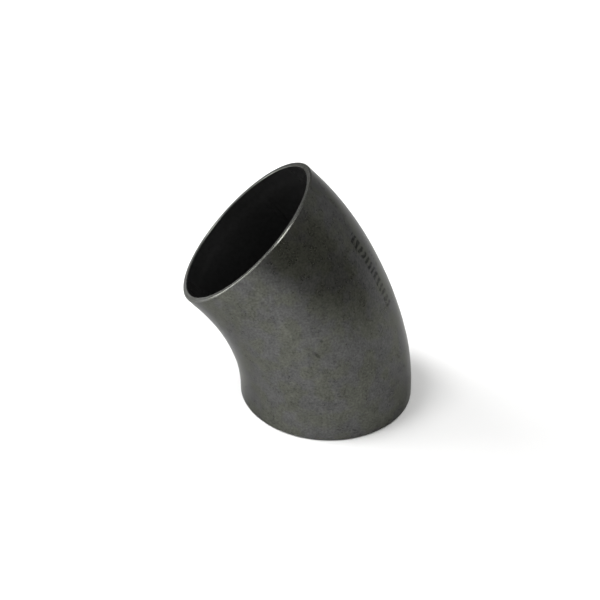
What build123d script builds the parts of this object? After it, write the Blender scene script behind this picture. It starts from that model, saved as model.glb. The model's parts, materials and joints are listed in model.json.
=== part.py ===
from build123d import *
import os
from math import cos, radians, sin, sqrt, tan

# A 45 degree long-radius butt-weld elbow, made from two pressed half shells.
# Origin: centre of the lower end face. The centre line leaves it along +Z and bends towards -X.
# In every cross-section X points to the back of the bend and Y to one of the two seams.

# ---- driving dimensions, mm ----
OUTER_DIAMETER = 108.0
WALL = 4.0
BEND_RADIUS = 152.0
BEND_ANGLE = 45.0
UPPER_TANGENT = 10.0  # straight stretch left beyond the bend, at the upper end only

# ---- end machining ----
EDGE_CHAMFER = 0.8
TRUED_DEPTH = 8.5  # how far the bore is turned true from each end face
TRUED_OVERSIZE = 0.4  # on the radius
TRUED_RUNOUT_ANGLE = 14.0  # half angle of the cone between the trued bore and the wall as formed

# ---- longitudinal seams ----
ROOT_GAP = 1.5
ROOT_FACE = 1.0
GROOVE_ANGLE = 60.0  # included
ROOT_RUN_DEPTH = 1.5  # how much of the wall the first run fills
BEAD_WIDTH = 4.0  # of the bead that the first run leaves in the bore
BEAD_HEIGHT = 0.5

# ---- worked out ----
OUTER_RADIUS = OUTER_DIAMETER / 2
BORE_RADIUS = OUTER_RADIUS - WALL
RUN_SPLIT_RADIUS = BORE_RADIUS + ROOT_RUN_DEPTH
TRUED_RADIUS = BORE_RADIUS + TRUED_OVERSIZE
CLEAR = 2.0  # how far a cut runs past the metal

# ---- the centre line ----
bend_cos = cos(radians(BEND_ANGLE))
bend_sin = sin(radians(BEND_ANGLE))
bend_end = Vector(-BEND_RADIUS * (1 - bend_cos), 0, BEND_RADIUS * bend_sin)
upper_direction = Vector(-bend_sin, 0, bend_cos)
upper_outward = Vector(bend_cos, 0, bend_sin)
upper_centre = bend_end + upper_direction * UPPER_TANGENT

bend_axis = Axis((-BEND_RADIUS, 0, 0), (0, -1, 0))
lower_face = Plane.XY
tangent_start = Plane(origin=bend_end, x_dir=upper_outward, z_dir=upper_direction)

# Half planes that hold each end's axis, with local +X outward and local +Y into the metal.
lower_profile_plane = Plane(origin=(0, 0, 0), x_dir=(1, 0, 0), z_dir=(0, -1, 0))
upper_profile_plane = Plane(origin=upper_centre, x_dir=upper_outward, z_dir=(0, 1, 0))


def along_centre_line(section):
    """The solid that a cross-section leaves when it is carried round the bend and on along the tangent."""
    with BuildPart() as run:
        with BuildSketch(lower_face):
            add(section)
        revolve(axis=bend_axis, revolution_arc=BEND_ANGLE)
        with BuildSketch(tangent_start):
            add(section)
        extrude(amount=UPPER_TANGENT)
    return run.part


# ---- cross-sections ----
def ring(inner_radius, outer_radius):
    with BuildSketch() as section:
        Circle(outer_radius)
        Circle(inner_radius, mode=Mode.SUBTRACT)
    return section.sketch


def groove(side):
    """The weld groove at Y = side, from inside the bore to beyond the outside: a root gap, then a V."""
    root_top = BORE_RADIUS + ROOT_FACE
    outside = OUTER_RADIUS + CLEAR
    half_gap = ROOT_GAP / 2
    half_mouth = half_gap + (outside - root_top) * tan(radians(GROOVE_ANGLE / 2))
    right_edge = [(half_gap, 0), (half_gap, side * root_top), (half_mouth, side * outside)]
    left_edge = [(-x, y) for x, y in reversed(right_edge)]
    with BuildSketch() as section:
        with BuildLine():
            Polyline(*right_edge, *left_edge, close=True)
        make_face()
    return section.sketch


def half_shell_section(side):
    """Half of the pipe wall, on the back of the bend for side = 1 and in its throat for side = -1."""
    with BuildSketch() as section:
        add(ring(BORE_RADIUS, OUTER_RADIUS))
        with Locations((side * OUTER_DIAMETER / 2, 0)):
            Rectangle(OUTER_DIAMETER, 2 * OUTER_DIAMETER, mode=Mode.INTERSECT)
        add(groove(1), mode=Mode.SUBTRACT)
        add(groove(-1), mode=Mode.SUBTRACT)
    return section.sketch


def cap_run_section(side):
    """The outer run of a seam, ground flush with the outside."""
    with BuildSketch() as section:
        add(ring(RUN_SPLIT_RADIUS, OUTER_RADIUS))
        add(groove(side), mode=Mode.INTERSECT)
    return section.sketch


def bead(side):
    """The low crown that the first run leaves inside the bore."""
    edge_y = sqrt(BORE_RADIUS**2 - (BEAD_WIDTH / 2) ** 2)
    left_end = (-BEAD_WIDTH / 2, side * edge_y)
    right_end = (BEAD_WIDTH / 2, side * edge_y)
    with BuildSketch() as section:
        with BuildLine():
            ThreePointArc(left_end, (0, side * (BORE_RADIUS - BEAD_HEIGHT)), right_end)
            ThreePointArc(right_end, (0, side * BORE_RADIUS), left_end)
        make_face()
    return section.sketch


def root_run_section(side):
    """The first run of a seam: it fills the root gap and stands slightly into the bore."""
    with BuildSketch() as section:
        add(ring(BORE_RADIUS, RUN_SPLIT_RADIUS))
        add(groove(side), mode=Mode.INTERSECT)
        add(bead(side))
    return section.sketch


# ---- metal that the machining takes off each end ----
runout_radius = BORE_RADIUS - BEAD_HEIGHT - TRUED_OVERSIZE
runout_length = (TRUED_RADIUS - runout_radius) / tan(radians(TRUED_RUNOUT_ANGLE))

with BuildSketch() as end_profile:
    with BuildLine():
        Polyline(
            (0, -CLEAR),
            (TRUED_RADIUS, -CLEAR),
            (TRUED_RADIUS, TRUED_DEPTH),
            (runout_radius, TRUED_DEPTH + runout_length),
            (0, TRUED_DEPTH + runout_length),
            close=True,
        )
    make_face()
    with BuildLine():
        Polyline(
            (OUTER_RADIUS - EDGE_CHAMFER - CLEAR, -CLEAR),
            (OUTER_RADIUS + CLEAR, EDGE_CHAMFER + CLEAR),
            (OUTER_RADIUS + CLEAR, -CLEAR),
            close=True,
        )
    make_face()

with BuildPart() as end_waste:
    with BuildSketch(lower_profile_plane):
        add(end_profile.sketch)
    revolve(axis=Axis.Z)
    with BuildSketch(upper_profile_plane):
        add(end_profile.sketch)
    revolve(axis=Axis(upper_centre, upper_direction))


# ---- half shells ----
with BuildPart() as outer_half_shell:
    add(along_centre_line(half_shell_section(1)))
    add(end_waste.part, mode=Mode.SUBTRACT)
outer_half_shell.part.label = "outer_half_shell"

with BuildPart() as inner_half_shell:
    add(along_centre_line(half_shell_section(-1)))
    add(end_waste.part, mode=Mode.SUBTRACT)
inner_half_shell.part.label = "inner_half_shell"

# ---- weld runs, two in each seam ----
pieces = [outer_half_shell.part, inner_half_shell.part]
for seam, side in (("near", -1), ("far", 1)):
    with BuildPart() as root_run:
        add(along_centre_line(root_run_section(side)))
        add(end_waste.part, mode=Mode.SUBTRACT)
    root_run.part.label = f"{seam}_seam_root_run"

    with BuildPart() as cap_run:
        add(along_centre_line(cap_run_section(side)))
        add(end_waste.part, mode=Mode.SUBTRACT)
    cap_run.part.label = f"{seam}_seam_cap_run"

    pieces += [root_run.part, cap_run.part]

os.makedirs("parts", exist_ok=True)
for piece in pieces:
    export_step(piece, f"parts/{piece.label}.step")
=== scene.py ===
import json
import math

import bmesh
import bpy
import numpy as np
from mathutils import Matrix, Vector


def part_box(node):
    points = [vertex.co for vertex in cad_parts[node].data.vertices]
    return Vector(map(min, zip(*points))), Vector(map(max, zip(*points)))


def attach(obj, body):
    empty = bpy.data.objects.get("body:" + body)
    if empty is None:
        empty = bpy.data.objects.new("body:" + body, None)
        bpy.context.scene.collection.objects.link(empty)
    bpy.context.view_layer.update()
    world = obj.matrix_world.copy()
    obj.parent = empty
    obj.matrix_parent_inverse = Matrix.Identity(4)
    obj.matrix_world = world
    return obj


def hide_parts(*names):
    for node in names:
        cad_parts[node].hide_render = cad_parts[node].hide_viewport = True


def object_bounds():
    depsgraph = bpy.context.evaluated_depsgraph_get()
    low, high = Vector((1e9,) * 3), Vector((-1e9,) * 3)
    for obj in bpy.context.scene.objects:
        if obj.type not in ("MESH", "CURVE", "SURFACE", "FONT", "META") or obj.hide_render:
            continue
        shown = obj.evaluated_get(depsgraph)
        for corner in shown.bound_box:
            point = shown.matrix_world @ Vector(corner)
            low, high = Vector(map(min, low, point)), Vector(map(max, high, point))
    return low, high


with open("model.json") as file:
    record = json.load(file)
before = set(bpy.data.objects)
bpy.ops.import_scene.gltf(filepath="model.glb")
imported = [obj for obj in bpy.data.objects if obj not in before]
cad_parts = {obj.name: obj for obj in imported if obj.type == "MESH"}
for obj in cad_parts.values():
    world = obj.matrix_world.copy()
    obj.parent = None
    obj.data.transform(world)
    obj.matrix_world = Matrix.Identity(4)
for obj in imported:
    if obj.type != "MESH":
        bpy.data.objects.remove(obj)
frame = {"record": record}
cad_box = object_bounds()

MM = 0.001

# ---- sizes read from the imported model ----
mounts = {mount["name"]: mount for mount in frame["record"]["mounts"]}
LOWER_OUTWARD = np.array(mounts["lower_bore"]["axis"], float)
UPPER_OUTWARD = np.array(mounts["upper_bore"]["axis"], float)
UPPER_CENTRE = np.array(mounts["upper_bore"]["pos_m"], float)
TRUED_RADIUS = mounts["lower_bore"]["dims"]["r_mm"] * MM
TRUED_DEPTH = mounts["lower_bore"]["dims"]["length_mm"] * MM

OUTER_RADIUS = (cad_box[1].y - cad_box[0].y) / 2
BEND_ANGLE = math.acos(float(-LOWER_OUTWARD @ UPPER_OUTWARD))
root_low, root_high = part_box("far_seam_root_run")
BEAD_RADIUS = root_low.y
RUN_SPLIT_RADIUS = root_high.y

# The centre line is an arc of BEND_RADIUS and then a straight UPPER_TANGENT, and ends at UPPER_CENTRE.
bend_sin, bend_cos = math.sin(BEND_ANGLE), math.cos(BEND_ANGLE)
BEND_RADIUS, UPPER_TANGENT = np.linalg.solve(
    [[bend_cos - 1, -bend_sin], [bend_sin, bend_cos]], [UPPER_CENTRE[0], UPPER_CENTRE[2]]
)
ARC_LENGTH = BEND_RADIUS * BEND_ANGLE

# ---- sizes of the section, as in the CAD model except for the run-out ----
WALL = 4.0 * MM
BORE_RADIUS = OUTER_RADIUS - WALL
BEAD_HALF_WIDTH = 2.0 * MM
ROOT_HALF_GAP = 0.75 * MM
ROOT_TOP = BORE_RADIUS + 1.0 * MM
GROOVE_SLOPE = math.tan(math.radians(30))
EDGE_CHAMFER = 0.8 * MM
RUNOUT_SLOPE = math.tan(math.radians(10))  # gentler than the CAD model's 14 degrees
RUNOUT_SOFTNESS = 2 * MM  # how round the step to the run-out is
TOOL_REACH = 14 * MM  # the turning tools cut nothing much deeper than this

# ---- finish of the real surface ----
EDGE_SOFTNESS = 0.07 * MM  # how round the machined edges are
BORE_SOFTNESS = 0.25 * MM  # how round the line is where turning meets the raw bore
CORNER_BREAK = 0.08 * MM  # deburred corner between an end face and its chamfer
BORE_BREAK = 0.35 * MM  # and between an end face and the bore
WAVE_DEPTH = 0.035 * MM  # of each of the shallow waves that pressing leaves in the wall
WAVE_LENGTHS = (17 * MM, 23 * MM, 29 * MM, 38 * MM, 47 * MM)
FLAT_DEPTH = 1.75 * MM  # how far bending flattens the back of the bend, halfway along
FLAT_MIDDLE, FLAT_HALF_LENGTH = 62.5 * MM, 60 * MM
DRESSED_DEPTH = 0.05 * MM  # how far grinding flattens the outside along a seam
DRESSED_HALF_WIDTH = 4.5 * MM
RIPPLE_PITCH = 1.3 * MM  # of the root bead
RIPPLE_DEPTH = 0.07 * MM

# ---- colour and marks on the skin; places along the bend, and around the pipe from its back, in mm ----
SKIN_GREY = 0.0755
SEAM_TOE = 4.2  # from the seam's middle line to the edge of its dressed stripe
ROW_LOW, ROW_TOP = 57.0, 97.5  # the ends of the row of strokes along the bend
ROW_AROUND_LOW, ROW_AROUND_TOP = -13.2, -11.6  # and around the pipe
STROKE_PITCH, STROKE_WIDTH, STROKE_LENGTH, STROKE_SLANT = 3.04, 1.5, 7.6, 0.15
TICKS_MIDDLE, TICKS_HALF, TICKS_AROUND = 78.6, 4.8, -3.0
TICK_PITCH, TICK_WIDTH, TICK_LENGTH, TICK_STRENGTH = 2.4, 1.0, 2.2, 0.55
SCRATCH_LIGHT, TOE_LIGHT, GLINT_LIGHT = 0.20, 0.16, 0.25  # shares by which marks brighten the skin
PIT_DARK, SCAR_DARK, INK_DARK = 0.35, 0.45, 0.8  # and by which others darken it
INK_ROUGHNESS = 0.2  # how much rougher the ink is
# the largest pit
SCAR_ALONG, SCAR_AROUND, SCAR_HALF_LENGTH, SCAR_HALF_WIDTH = 62.2, -76.3, 3.2, 1.4

# ---- mesh density ----
SHELL_COLUMNS = 150
RUN_COLUMNS = 10
STATION_STEP = 1.5 * MM
FINE_STEP = 0.4 * MM
FOLLOWS_FACE = 14 * MM  # stations are parallel to the lower end face up to here
FOLLOWS_BEND = 36 * MM  # and from here on they are planes through the bend's axis
SKIN_INSET = 0.06  # of the outer layer's thickness, from the skin to the level that keeps its edge crisp
BORE_INSET = 0.12  # the same for the bore
MERGE_DISTANCE = 0.0005 * MM
SHARP_ANGLE = math.radians(38)

random = np.random.default_rng(45)
wave_directions = random.normal(size=(len(WAVE_LENGTHS), 3))
wave_directions /= np.linalg.norm(wave_directions, axis=1, keepdims=True)
wave_phases = random.uniform(0, 2 * math.pi, len(WAVE_LENGTHS))


# ======================= shape =======================
def soft_positive(value, softness):
    """value where it is positive and 0 where it is negative, rounded off between the two."""
    return (value + np.sqrt(value**2 + softness**2)) / 2


def depth_below(points, centre, outward):
    """How deep each point lies below an end face, and its place across the end's axis."""
    offset = points - centre
    depth = -(offset @ outward)
    return depth, offset + depth[..., None] * outward


def surface_wave(points):
    """How far the skin lies below its nominal place: 0 to twice the waves' total depth."""
    phase = [
        points @ direction * (2 * math.pi / length) + start
        for direction, length, start in zip(wave_directions, WAVE_LENGTHS, wave_phases)
    ]
    return WAVE_DEPTH * (len(WAVE_LENGTHS) + np.sin(phase).sum(axis=0)) / 2


def place(across, side, along, tangent, depth, blend):
    """A point of the section, carried along the centre line.

    across points to the back of the bend and side to the seams. Near the lower end, stations follow the
    end face (depth), and further up they are planes through the bend's axis (along).
    """
    radius = BEND_RADIUS + across
    angle = (1 - blend) * np.arcsin(np.clip(depth / radius, -1, 1)) + blend * along / BEND_RADIUS
    up = np.array([-bend_sin, 0.0, bend_cos])
    x = radius * np.cos(angle) - BEND_RADIUS
    point = np.stack([x, side + 0 * angle, radius * np.sin(angle)], axis=-1)
    return point + np.asarray(tangent)[..., None] * up


def cut_end(points, centre, outward, limit, side):
    """Cuts points back to the surface of turning, limit(depth), round an end's axis.

    side is 1 where metal is kept inside the surface (the chamfer), and -1 where it is kept outside it
    (the bore).
    """
    depth, across = depth_below(points, centre, outward)
    radius = np.linalg.norm(across, axis=-1)
    softness = EDGE_SOFTNESS if side > 0 else BORE_SOFTNESS
    cut = soft_positive(side * (radius - limit(depth)), softness)
    return points - across * (side * cut / radius)[..., None]


def bore_limit(depth):
    """The turned bore's radius at a depth below the end face: a broken corner, and a run-out in a cone.

    Beyond TOOL_REACH it falls away, so that nothing is cut there.
    """
    corner = soft_positive(BORE_BREAK - depth, BORE_BREAK / 6)
    runout = soft_positive(depth - TRUED_DEPTH, RUNOUT_SOFTNESS) * RUNOUT_SLOPE
    beyond = np.maximum(depth - TOOL_REACH, 0) ** 2 / MM
    return TRUED_RADIUS + corner - runout - beyond


def skin_limit(depth):
    """The radius of the chamfer's cone at a depth below the end face, with a broken corner."""
    corner = soft_positive(CORNER_BREAK - depth, CORNER_BREAK / 4)
    return OUTER_RADIUS - EDGE_CHAMFER + depth - corner


ENDS = ((np.zeros(3), LOWER_OUTWARD), (UPPER_CENTRE, UPPER_OUTWARD))


def finish_bore(points):
    """Turns both ends of the bore."""
    for centre, outward in ENDS:
        points = cut_end(points, centre, outward, bore_limit, -1)
    return points


def flatten(points, centre):
    """Moves the back of the bend inwards: bending a pipe leaves it slightly flat halfway along."""
    bend_end = UPPER_CENTRE - UPPER_TANGENT * UPPER_OUTWARD
    arm = points + np.array([BEND_RADIUS, 0, 0])
    angle = np.clip(np.arctan2(arm[..., 2], arm[..., 0]), 0, BEND_ANGLE)
    along = angle * BEND_RADIUS + np.maximum((points - bend_end) @ UPPER_OUTWARD, 0)
    spread = points - centre
    radius = np.linalg.norm(spread, axis=-1)
    back = (spread[..., 0] * np.cos(angle) + spread[..., 2] * np.sin(angle)) / radius
    reach = np.clip((along - FLAT_MIDDLE) / FLAT_HALF_LENGTH, -1, 1)
    drop = FLAT_DEPTH * np.clip(back, 0, 1) ** 2 * np.cos(reach * math.pi / 2) ** 2
    return points - spread * (drop / radius)[..., None]


def finish_skin(points, inward, side):
    """Waves, the dressed stripe along each seam and the chamfers."""
    seam_distance = np.sqrt(np.maximum(OUTER_RADIUS**2 - side**2, 0))
    dressed = DRESSED_DEPTH * np.exp(-((seam_distance / DRESSED_HALF_WIDTH) ** 2))
    points = points + inward * (surface_wave(points) + dressed)[..., None]
    for centre, outward in ENDS:
        points = cut_end(points, centre, outward, skin_limit, 1)
    return points


def groove_edge(radius):
    """Half the groove's width at a radius, and the height there."""
    half = ROOT_HALF_GAP
    height = math.sqrt(radius**2 - half**2)
    if height > ROOT_TOP:
        k = GROOVE_SLOPE
        c = half - k * ROOT_TOP
        height = (-k * c + math.sqrt((k * c) ** 2 - (1 + k**2) * (c**2 - radius**2))) / (1 + k**2)
        half = half + (height - ROOT_TOP) * k
    return half, height


def stations(step):
    """Rows of the mesh from the lower end face to the upper one: along, tangent, depth, blend."""
    edge = [0, 0.03, 0.06, 0.1, 0.16, 0.3, 0.5, 0.64, 0.72, 0.78, 0.84, 0.92, 1.05, 1.3, 1.9]
    low = [value * MM for value in edge] + [TRUED_DEPTH - 0.3 * MM, TRUED_DEPTH, TRUED_DEPTH + 0.3 * MM]
    fill = np.arange(edge[-1] * MM + step, TRUED_DEPTH - 0.5 * MM, step)
    low = sorted(low + list(fill))
    upper = [UPPER_TANGENT - value for value in reversed(low) if value < UPPER_TANGENT]
    rows = [(0.0, 0.0, value, 0.0) for value in low]
    middle = np.linspace(low[-1], ARC_LENGTH, round((ARC_LENGTH - low[-1]) / step) + 1)[1:]
    for value in middle:
        t = min(max((value - FOLLOWS_FACE) / (FOLLOWS_BEND - FOLLOWS_FACE), 0), 1)
        rows.append((value, 0.0, min(value, FOLLOWS_BEND), t * t * (3 - 2 * t)))
    return rows + [(ARC_LENGTH, value, FOLLOWS_BEND, 1.0) for value in upper if value > 0]


def section_points(levels, rows, skin, bore):
    """Carries a section, given as [level][column] -> (across, side), along all rows."""
    across = np.array([[p[0] for p in level] for level in levels])[..., None]
    side = np.array([[p[1] for p in level] for level in levels])[..., None]
    along, tangent, depth, blend = (np.array(values)[None, None, :] for values in zip(*rows))
    points = place(across, side, along, tangent, depth, blend)
    centre = place(0 * across, 0 * side, along, tangent, depth, blend)
    if skin:
        points = flatten(points, centre)
        towards = centre[-1] - points[-1]
        towards /= np.linalg.norm(towards, axis=-1, keepdims=True)
        points[-1] = finish_skin(points[-1], towards, side[-1])
        points[-2] = points[-1] + (points[-3] - points[-1]) * SKIN_INSET
    if bore:
        points[0] = finish_bore(points[0])
        points[1] = points[0] + (points[2] - points[0]) * BORE_INSET
    return points


def block_faces(shape):
    """The six sides of a block of points, each with its name, as quads that look outward."""
    levels, columns, rows = shape
    index = np.arange(levels * columns * rows).reshape(shape)

    def quads(sheet, flip):
        a, b, c, d = sheet[:-1, :-1], sheet[1:, :-1], sheet[1:, 1:], sheet[:-1, 1:]
        order = (a, d, c, b) if flip else (a, b, c, d)
        return np.stack([corner.ravel() for corner in order], axis=1)

    return {
        "bore": quads(index[0], True),
        "skin": quads(index[-1], False),
        "start_flank": quads(index[:, 0], False),
        "end_flank": quads(index[:, -1], True),
        "lower_face": quads(index[:, :, 0], True),
        "upper_face": quads(index[:, :, -1], False),
    }


def make_piece(name, points, materials, mirrored):
    """A mesh from a block of points. Its faces' materials go by side and by depth below the ends."""
    faces = block_faces(points.shape[:3])
    vertices = points.reshape(-1, 3)
    mesh = bpy.data.meshes.new(name)
    bm = bmesh.new()
    made = [bm.verts.new(v) for v in vertices]
    for kind, quads in faces.items():
        for quad in quads:
            corners = [made[i] for i in (quad[::-1] if mirrored else quad)]
            face = bm.faces.new(corners)
            face.smooth = True
            face.material_index = choose_material(kind, vertices[quad].mean(axis=0))
    bmesh.ops.delete(bm, geom=[v for v in bm.verts if not v.link_faces], context="VERTS")
    bmesh.ops.remove_doubles(bm, verts=bm.verts, dist=MERGE_DISTANCE)
    bmesh.ops.recalc_face_normals(bm, faces=bm.faces)
    bm.to_mesh(mesh)
    bm.free()
    for material in materials:
        mesh.materials.append(material)
    mesh.set_sharp_from_angle(angle=SHARP_ANGLE)
    piece = bpy.data.objects.new(name, mesh)
    bpy.context.scene.collection.objects.link(piece)
    return piece


SKIN, BORE, END_FACE, CHAMFER = range(4)


def choose_material(kind, middle):
    """A face's material, from the side of the block that it is on and its depth below the nearer end."""
    if kind in ("lower_face", "upper_face"):
        return END_FACE
    depth = min(depth_below(middle, centre, outward)[0] for centre, outward in ENDS)
    if kind == "bore":
        return END_FACE if depth < BORE_BREAK else BORE
    if kind == "skin" and depth < EDGE_CHAMFER + EDGE_SOFTNESS:
        return CHAMFER
    return SKIN


def arc_between(radius, columns, half_width):
    """Points from the near seam's groove edge to the far one's, round the back of the bend."""
    start = math.atan2(math.sqrt(radius**2 - half_width**2), half_width)
    return [(radius * math.cos(a), radius * math.sin(a)) for a in np.linspace(-start, start, columns)]


def half_shell(name, sign, materials):
    """A pressed half shell: the back of the bend where sign is 1, the throat where it is -1."""
    radii = (BORE_RADIUS, BORE_RADIUS, ROOT_TOP, RUN_SPLIT_RADIUS, RUN_SPLIT_RADIUS, OUTER_RADIUS)
    levels = [arc_between(radius, SHELL_COLUMNS, groove_edge(radius)[0]) for radius in radii]
    levels = [[(sign * x, y) for x, y in level] for level in levels]
    points = section_points(levels, stations(STATION_STEP), skin=True, bore=True)
    return make_piece(name, points, materials, mirrored=sign < 0)


def across_seam(radius, half_width, side, columns):
    """Points across the seam on one side, at a radius."""
    return [(x, side * math.sqrt(radius**2 - x**2)) for x in np.linspace(-half_width, half_width, columns)]


def cap_run(name, side, materials):
    """The last run of a seam, ground flush with the shells."""
    split_half = groove_edge(RUN_SPLIT_RADIUS)[0]
    outer_half = groove_edge(OUTER_RADIUS)[0]
    levels = [across_seam(RUN_SPLIT_RADIUS, split_half, side, RUN_COLUMNS)] * 2
    levels.append(across_seam(OUTER_RADIUS, outer_half, side, RUN_COLUMNS))
    points = section_points(levels, stations(STATION_STEP), skin=False, bore=False)
    centre = section_points([[(0, 0)] * RUN_COLUMNS], stations(STATION_STEP), skin=False, bore=False)[0]
    towards = centre - points[-1]
    towards /= np.linalg.norm(towards, axis=-1, keepdims=True)
    points[-1] = finish_skin(points[-1], towards, np.array([[p[1]] for p in levels[-1]]))
    points[-2] = points[-1] + (points[0] - points[-1]) * SKIN_INSET
    return make_piece(name, points, materials, mirrored=side > 0)


def root_run(name, side, materials):
    """The first run of a seam: a narrow web between the shells, and a bead inside.

    The bead is rippled in crescents, and fades out where the bore is turned.
    """
    rows = stations(FINE_STEP)
    half = ROOT_HALF_GAP
    split_half = groove_edge(RUN_SPLIT_RADIUS)[0]
    levels = [
        across_seam(BORE_RADIUS, BEAD_HALF_WIDTH, side, RUN_COLUMNS),
        across_seam(BORE_RADIUS, half, side, RUN_COLUMNS),
        across_seam(ROOT_TOP, half, side, RUN_COLUMNS),
        across_seam(RUN_SPLIT_RADIUS, split_half, side, RUN_COLUMNS),
    ]
    points = section_points(levels, rows, skin=False, bore=False)
    centre = section_points([[(0, 0)] * RUN_COLUMNS], rows, skin=False, bore=False)[0]
    depth = np.minimum(*(depth_below(points[0], c, outward)[0] for c, outward in ENDS))
    runout_start = TRUED_DEPTH + (TRUED_RADIUS - BORE_RADIUS) / RUNOUT_SLOPE
    runout_end = TRUED_DEPTH + (TRUED_RADIUS - BEAD_RADIUS) / RUNOUT_SLOPE
    grown = np.clip((depth - runout_start) / (runout_end - runout_start), 0, 1)
    share = np.linspace(-1, 1, RUN_COLUMNS)[:, None]
    steps = np.diff(points[0], axis=1, prepend=points[0][:, :1])
    along = np.cumsum(np.linalg.norm(steps, axis=-1), axis=1) + 0.5 * BEAD_HALF_WIDTH * share**2
    ripple = RIPPLE_DEPTH * (0.5 - 0.5 * np.cos(2 * math.pi * along / RIPPLE_PITCH))
    height = ((BORE_RADIUS - BEAD_RADIUS) * (1 - share**2) - ripple * (1 - share**2)) * grown
    towards = centre - points[0]
    towards /= np.linalg.norm(towards, axis=-1, keepdims=True)
    narrow = grown[..., None]
    points[0] = points[1] * (1 - narrow) + points[0] * narrow + towards * height[..., None]
    points[0] = finish_bore(points[0])
    points[1] = finish_bore(points[1])
    return make_piece(name, points, materials, mirrored=side > 0)


# ======================= materials =======================
class Nodes:
    """Short hand for building one material's node tree."""

    def __init__(self, name):
        self.material = bpy.data.materials.new(name)
        self.material.use_nodes = True
        self.tree = self.material.node_tree
        self.shader = self.tree.nodes["Principled BSDF"]
        self.position = self.make("ShaderNodeTexCoord").outputs["Object"]

    def make(self, kind, inputs=None, **settings):
        node = self.tree.nodes.new(kind)
        for key, value in settings.items():
            setattr(node, key, value)
        for key, value in (inputs or {}).items():
            self.put(node.inputs[key], value)
        return node

    def put(self, socket, value):
        if isinstance(value, bpy.types.NodeSocket):
            self.tree.links.new(value, socket)
        else:
            socket.default_value = value

    def math(self, operation, a, b=0.0):
        return self.make("ShaderNodeMath", {0: a, 1: b}, operation=operation).outputs[0]

    def noise(self, size, detail=2.0, roughness=0.5, shift=0.0):
        """Noise with features of about size metres, from 0 to 1 with a mean of 0.5."""
        mapped = self.make("ShaderNodeMapping", {"Vector": self.position, "Location": (shift,) * 3})
        inputs = {"Vector": mapped.outputs[0], "Scale": 1 / size, "Detail": detail, "Roughness": roughness}
        return self.make("ShaderNodeTexNoise", inputs).outputs["Fac"]

    def ramp(self, value, low, high, to_low=0.0, to_high=1.0, smooth=True):
        inputs = {"Value": value, "From Min": low, "From Max": high, "To Min": to_low, "To Max": to_high}
        kind = "SMOOTHSTEP" if smooth else "LINEAR"
        return self.make("ShaderNodeMapRange", inputs, interpolation_type=kind).outputs["Result"]

    def mix(self, factor, a, b, blend="MIX"):
        node = self.make("ShaderNodeMix", data_type="RGBA", blend_type=blend)
        self.put(node.inputs["Factor"], factor)
        self.put(node.inputs[6], a)
        self.put(node.inputs[7], b)
        return node.outputs[2]

    def set(self, **values):
        for key, value in values.items():
            self.put(self.shader.inputs[key.replace("_", " ")], value)

    def bump(self, height, distance):
        inputs = {"Height": height, "Distance": distance, "Strength": 1.0}
        return self.make("ShaderNodeBump", inputs).outputs["Normal"]


def grey(value, olive=0.0):
    """A dark metal tint: positive olive leans to yellow-green, negative to violet-grey."""
    return (value * (1 - 0.01 * olive), value * (1 + 0.01 * olive), value * (1 - 0.11 * olive), 1)


class WallNodes(Nodes):
    """Nodes that know where on the wall they are, in mm: along the bend, and around from its back."""

    def __init__(self, name):
        super().__init__(name)
        x, y, z = self.make("ShaderNodeSeparateXYZ", {0: self.position}).outputs
        reach = self.math("ADD", x, BEND_RADIUS)
        self.along = self.math("MULTIPLY", self.math("ARCTAN2", z, reach), BEND_RADIUS / MM)
        swing = self.math("SQRT", self.math("ADD", self.math("POWER", reach, 2), self.math("POWER", z, 2)))
        turn = self.math("ARCTAN2", y, self.math("SUBTRACT", swing, BEND_RADIUS))
        self.around = self.math("MULTIPLY", turn, OUTER_RADIUS / MM)
        self.side = self.math("MULTIPLY", y, 1 / MM)

    def band(self, value, centre, half, soft):
        """1 within half of centre, 0 outside, over a soft edge."""
        distance = self.math("ABSOLUTE", self.math("SUBTRACT", value, centre))
        return self.ramp(distance, half - soft, half + soft, 1.0, 0.0)

    def repeat(self, value, pitch):
        """How far value is past the last multiple of pitch."""
        return self.math("MULTIPLY", self.math("FRACT", self.math("MULTIPLY", value, 1 / pitch)), pitch)

    def both(self, a, b):
        return self.math("MULTIPLY", a, b)

    def darken(self, light, marks, share):
        """light, less a share of it where the marks are."""
        return self.both(light, self.math("SUBTRACT", 1.0, self.math("MULTIPLY", marks, share)))

    def streaks(self, length, width, shift):
        """Noise drawn out along the bend: streaks of about length by width, in mm."""
        u = self.math("MULTIPLY", self.along, 1 / length)
        v = self.math("MULTIPLY", self.around, 1 / width)
        vector = self.make("ShaderNodeCombineXYZ", {0: u, 1: v, 2: shift}).outputs[0]
        inputs = {"Vector": vector, "Scale": 1.0, "Detail": 1.0}
        return self.make("ShaderNodeTexNoise", inputs).outputs["Fac"]

    def scar(self):
        """The one larger pit low on the near side."""
        u = self.math("MULTIPLY", self.math("SUBTRACT", self.along, SCAR_ALONG), 1 / SCAR_HALF_LENGTH)
        v = self.math("MULTIPLY", self.math("SUBTRACT", self.around, SCAR_AROUND), 1 / SCAR_HALF_WIDTH)
        slanted = self.math("ADD", v, self.math("MULTIPLY", u, 0.4))
        squares = self.math("ADD", self.math("POWER", u, 2), self.math("POWER", slanted, 2))
        return self.ramp(self.math("SQRT", squares), 0.3, 1.1, 1.0, 0.0)

    def specks(self, spacing, size, share, shift):
        """Round spots of about size mm, in a share of cells of about spacing mm."""
        mapped = self.make("ShaderNodeMapping", {"Vector": self.position, "Location": (shift,) * 3})
        inputs = {"Vector": mapped.outputs[0], "Scale": 1 / (spacing * MM)}
        cells = self.make("ShaderNodeTexVoronoi", inputs)
        chosen = self.make("ShaderNodeSeparateColor", {0: cells.outputs["Color"]}).outputs[0]
        radius = size / 2 / spacing
        spot = self.ramp(cells.outputs["Distance"], radius * 0.5, radius * 1.3, 1.0, 0.0)
        return self.both(spot, self.ramp(chosen, 1 - share, 1 - share + 0.02))


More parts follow.
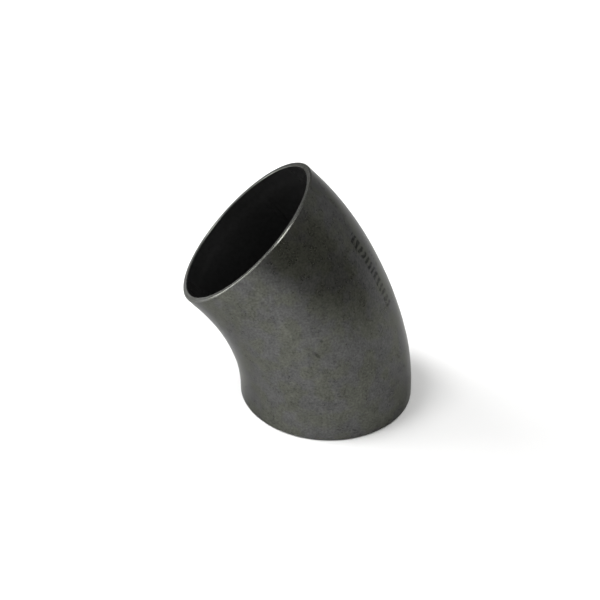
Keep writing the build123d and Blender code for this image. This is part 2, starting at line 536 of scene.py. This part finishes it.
def ink_strokes(n):
    """A generic inspection tally: a row of uneven strokes beside the back of the bend, and fainter ticks.

    The strokes fade towards the lower end of the row.
    """
    wobble = n.math("SUBTRACT", n.noise(9 * MM, detail=1, shift=6.0), 0.5)
    along = n.math("ADD", n.along, n.math("MULTIPLY", wobble, 3.0))
    around = n.math("ADD", n.around, n.math("MULTIPLY", wobble, 2.0))
    slope = (ROW_AROUND_TOP - ROW_AROUND_LOW) / (ROW_TOP - ROW_LOW)
    middle = n.math("ADD", n.math("MULTIPLY", n.math("SUBTRACT", along, ROW_LOW), slope), ROW_AROUND_LOW)
    off_row = n.math("SUBTRACT", around, middle)
    slanted = n.math("ADD", n.math("SUBTRACT", along, ROW_LOW), n.math("MULTIPLY", off_row, STROKE_SLANT))
    stroke = n.band(n.repeat(slanted, STROKE_PITCH), STROKE_PITCH / 2, STROKE_WIDTH / 2, 0.3)
    in_row = n.band(along, (ROW_LOW + ROW_TOP) / 2, (ROW_TOP - ROW_LOW) / 2, 0.05)
    row = n.both(n.both(stroke, in_row), n.band(off_row, 0, STROKE_LENGTH / 2, 0.4))
    tick = n.band(n.repeat(along, TICK_PITCH), TICK_PITCH / 2, TICK_WIDTH / 2, 0.3)
    in_ticks = n.both(
        n.band(along, TICKS_MIDDLE, TICKS_HALF, 0.1), n.band(around, TICKS_AROUND, TICK_LENGTH / 2, 0.3)
    )
    ticks = n.math("MULTIPLY", n.both(tick, in_ticks), TICK_STRENGTH)
    worn = n.ramp(n.noise(1.6 * MM, detail=2, shift=8.0), 0.32, 0.56, 0.45, 1.0)
    fade = n.ramp(n.along, ROW_LOW, ROW_TOP, 0.6, 1.0)
    return n.both(n.both(n.math("MAXIMUM", row, ticks), worn), fade)


def steel_skin():
    """Shot-blasted, lightly oiled carbon steel, with grain, blotches, pits, scratches and seam edges."""
    n = WallNodes("steel_skin")
    grain = n.noise(1.3 * MM, detail=2, roughness=0.6)
    patches = n.noise(6 * MM, detail=3, shift=0.3)
    tint = n.noise(13 * MM, detail=2, shift=0.7)
    broad = n.noise(45 * MM, detail=1, shift=1.9)
    colour = n.mix(n.ramp(tint, 0.42, 0.6), grey(SKIN_GREY, 1.2), grey(SKIN_GREY, 0.15))
    light = n.ramp(grain, 0.25, 0.75, 0.68, 1.32, smooth=False)
    for change in (n.ramp(patches, 0.3, 0.7, -0.10, 0.10), n.ramp(broad, 0.3, 0.7, -0.06, 0.06)):
        light = n.math("ADD", light, change)
    scratch = n.both(n.ramp(n.streaks(26, 0.5, 0.0), 0.70, 0.76), n.ramp(patches, 0.45, 0.6))
    light = n.math("ADD", light, n.math("MULTIPLY", scratch, SCRATCH_LIGHT))
    squared = n.math("SUBTRACT", (OUTER_RADIUS / MM) ** 2, n.math("POWER", n.side, 2))
    seam_distance = n.math("SQRT", n.math("MAXIMUM", squared, 0.0))
    toe = n.both(n.band(seam_distance, SEAM_TOE, 0.35, 0.3), n.ramp(n.streaks(14, 5, 3.0), 0.45, 0.6))
    light = n.math("ADD", light, n.math("MULTIPLY", toe, TOE_LIGHT))
    pits = n.math("MAXIMUM", n.specks(6.5, 1.1, 0.35, 0.11), n.specks(19, 2.2, 0.3, 0.57))
    light = n.darken(light, pits, PIT_DARK)
    light = n.darken(light, n.scar(), SCAR_DARK)
    glints = n.specks(5.0, 0.9, 0.3, 0.83)
    light = n.both(light, n.math("ADD", 1.0, n.math("MULTIPLY", glints, GLINT_LIGHT)))
    ink = ink_strokes(n)
    light = n.darken(light, ink, INK_DARK)
    shade = n.make("ShaderNodeCombineColor", {0: light, 1: light, 2: light}).outputs[0]
    n.set(Base_Color=n.mix(1.0, colour, shade, blend="MULTIPLY"))
    n.set(Metallic=1.0, Specular_Tint=(0.57, 0.57, 0.57, 1))
    rough = n.math("ADD", n.ramp(grain, 0.2, 0.8, -0.02, 0.02), n.ramp(patches, 0.3, 0.7, 0.28, 0.31))
    n.set(Roughness=n.math("ADD", rough, n.math("MULTIPLY", ink, INK_ROUGHNESS)))
    height = n.math("SUBTRACT", grain, n.math("MULTIPLY", pits, 1.2))
    n.set(Normal=n.bump(height, 0.009 * MM))
    return n.material


def bore_scale_and_shade():
    """The inside: the same steel under dark mill scale and oil, with its colour darkened further as
    painted shade for the dim inside of the bore.
    """
    n = Nodes("bore_scale_and_shade")
    scale = n.noise(2.2 * MM, detail=4, roughness=0.6, shift=2.0)
    # greys far darker than the skin's: partly mill scale, partly painted shade of the bore's dim inside
    colour = n.mix(n.ramp(scale, 0.3, 0.7), grey(0.02, 0.0), grey(0.028, 0.0))
    n.set(Base_Color=colour, Metallic=1.0, Specular_Tint=(0.3, 0.3, 0.3, 1))
    n.set(Roughness=n.ramp(scale, 0.2, 0.8, 0.6, 0.75), Normal=n.bump(scale, 0.025 * MM))
    return n.material


def turned_steel(name, low, high):
    """Machined steel between two greys, with fine turning marks and stains."""
    n = Nodes(name)
    fine = n.noise(0.8 * MM, detail=2, shift=4.0)
    stain = n.noise(7 * MM, detail=2, shift=5.0)
    n.set(Base_Color=n.mix(n.ramp(stain, 0.35, 0.65), grey(low, 1.0), grey(high, 0.5)))
    n.set(Metallic=1.0, Specular_Tint=(0.6, 0.6, 0.6, 1))
    n.set(Roughness=n.ramp(fine, 0.2, 0.8, 0.2, 0.3), Normal=n.bump(fine, 0.012 * MM))
    return n.material


def pale_floor():
    """Matt off-white."""
    n = Nodes("pale_floor")
    n.set(Base_Color=(0.86, 0.86, 0.86, 1), Roughness=0.9)
    n.set(Specular_IOR_Level=0.0)
    return n.material


finishes = [None] * 4
finishes[SKIN] = steel_skin()
finishes[BORE] = bore_scale_and_shade()
finishes[END_FACE] = turned_steel("turned_face", 0.065, 0.085)
finishes[CHAMFER] = turned_steel("turned_chamfer", 0.07, 0.085)


# ======================= pieces =======================
def stand_for(piece, node):
    """Lets a piece take the place of a CAD node."""
    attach(piece, "root")
    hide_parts(node)


stand_for(half_shell("outer_shell_body", 1, finishes), "outer_half_shell")
stand_for(half_shell("inner_shell_body", -1, finishes), "inner_half_shell")
for seam, side in (("near", -1), ("far", 1)):
    stand_for(cap_run(f"{seam}_cap_weld", side, finishes), f"{seam}_seam_cap_run")
    stand_for(root_run(f"{seam}_root_weld", side, finishes), f"{seam}_seam_root_run")


# ======================= camera =======================
def direction(azimuth, elevation):
    """A unit vector: azimuth 0 points to -Y, 90 to +X."""
    a, e = math.radians(azimuth), math.radians(elevation)
    return Vector((math.sin(a) * math.cos(e), -math.cos(a) * math.cos(e), math.sin(e)))


VIEW_AZIMUTH = 2.11
VIEW_ELEVATION = 34.94
VIEW_ROLL = 1.55
VIEW_DISTANCE = 9.997 * 2 * OUTER_RADIUS
VIEW_TARGET = Vector((-0.331 * OUTER_RADIUS, 0, 1.2227 * OUTER_RADIUS))
LENS = 105.56

camera_data = bpy.data.cameras.new("camera")
camera_data.lens = LENS
camera_data.sensor_width = 36
camera = bpy.data.objects.new("camera", camera_data)
bpy.context.scene.collection.objects.link(camera)
back = direction(VIEW_AZIMUTH, VIEW_ELEVATION)
turn = back.to_track_quat("Z", "Y") @ Matrix.Rotation(math.radians(VIEW_ROLL), 3, "Z").to_quaternion()
camera.rotation_mode = "QUATERNION"
camera.rotation_quaternion = turn
camera.location = VIEW_TARGET + back * VIEW_DISTANCE
bpy.context.scene.camera = camera

# ======================= floor and light =======================
FLOOR_HALF = 8.0
FLOOR_GAP = 0.2 * MM  # below the part, so that the two never coincide
LIT_POINT = Vector((0, 0, 0.06))
ROOM_STRENGTH = 0.56
floor_mesh = bpy.data.meshes.new("floor")
corners = [(x * FLOOR_HALF, y * FLOOR_HALF, 0) for x, y in ((-1, -1), (1, -1), (1, 1), (-1, 1))]
floor_mesh.from_pydata(corners, [], [(0, 1, 2, 3)])
floor_mesh.materials.append(pale_floor())
floor = bpy.data.objects.new("floor", floor_mesh)
floor.location.z = cad_box[0].z - FLOOR_GAP
bpy.context.scene.collection.objects.link(floor)


def softbox(name, azimuth, elevation, distance, size, power):
    """A round area light, aimed at the middle of the part."""
    light = bpy.data.lights.new(name, "AREA")
    light.shape = "DISK"
    light.size = size
    light.energy = power
    lamp = bpy.data.objects.new(name, light)
    towards = direction(azimuth, elevation)
    lamp.rotation_mode = "QUATERNION"
    lamp.rotation_quaternion = towards.to_track_quat("Z", "Y")
    lamp.location = LIT_POINT + towards * distance
    bpy.context.scene.collection.objects.link(lamp)


softbox("key", -73, 66, 1.6, 0.5, 10)
softbox("low_left", -99, 10, 1.2, 1.0, 26)
softbox("back_left", -118, 27, 1.4, 0.8, 10)
softbox("front_left", -60, 25, 1.4, 0.8, 3)
softbox("front_right", 35, 70, 1.6, 0.9, 8)


def grey_screen(first_azimuth, last_azimuth, distance, height, steps=24):
    """A curved screen on the floor, which the camera can't see: the metal reflects its darker grey."""
    azimuths = np.linspace(first_azimuth, last_azimuth, steps + 1)
    foot = [direction(float(azimuth), 0) * distance for azimuth in azimuths]
    vertices = foot + [point + Vector((0, 0, height)) for point in foot]
    faces = [(i, i + 1, i + steps + 2, i + steps + 1) for i in range(steps)]
    mesh = bpy.data.meshes.new("grey_screen")
    mesh.from_pydata(vertices, [], faces)
    n = Nodes("grey_cloth")
    n.set(Base_Color=(0.17, 0.17, 0.155, 1), Roughness=1.0, Specular_IOR_Level=0.0)
    mesh.materials.append(n.material)
    screen = bpy.data.objects.new("grey_screen", mesh)
    screen.visible_camera = False
    bpy.context.scene.collection.objects.link(screen)


grey_screen(0, 100, 0.72, 1.1)


def studio_world():
    """An even pale room, plain white to the camera."""
    world = bpy.data.worlds.new("studio")
    world.use_nodes = True
    nodes, links = world.node_tree.nodes, world.node_tree.links
    nodes.clear()
    output = nodes.new("ShaderNodeOutputWorld")
    path = nodes.new("ShaderNodeLightPath")
    mix = nodes.new("ShaderNodeMixShader")
    links.new(path.outputs["Is Camera Ray"], mix.inputs[0])
    for socket, strength in ((1, ROOM_STRENGTH), (2, 1.0)):
        background = nodes.new("ShaderNodeBackground")
        background.inputs["Color"].default_value = (1, 1, 1, 1)
        background.inputs["Strength"].default_value = strength
        links.new(background.outputs[0], mix.inputs[socket])
    links.new(mix.outputs[0], output.inputs["Surface"])
    bpy.context.scene.world = world


studio_world()
bpy.context.scene.view_settings.view_transform = "Standard"
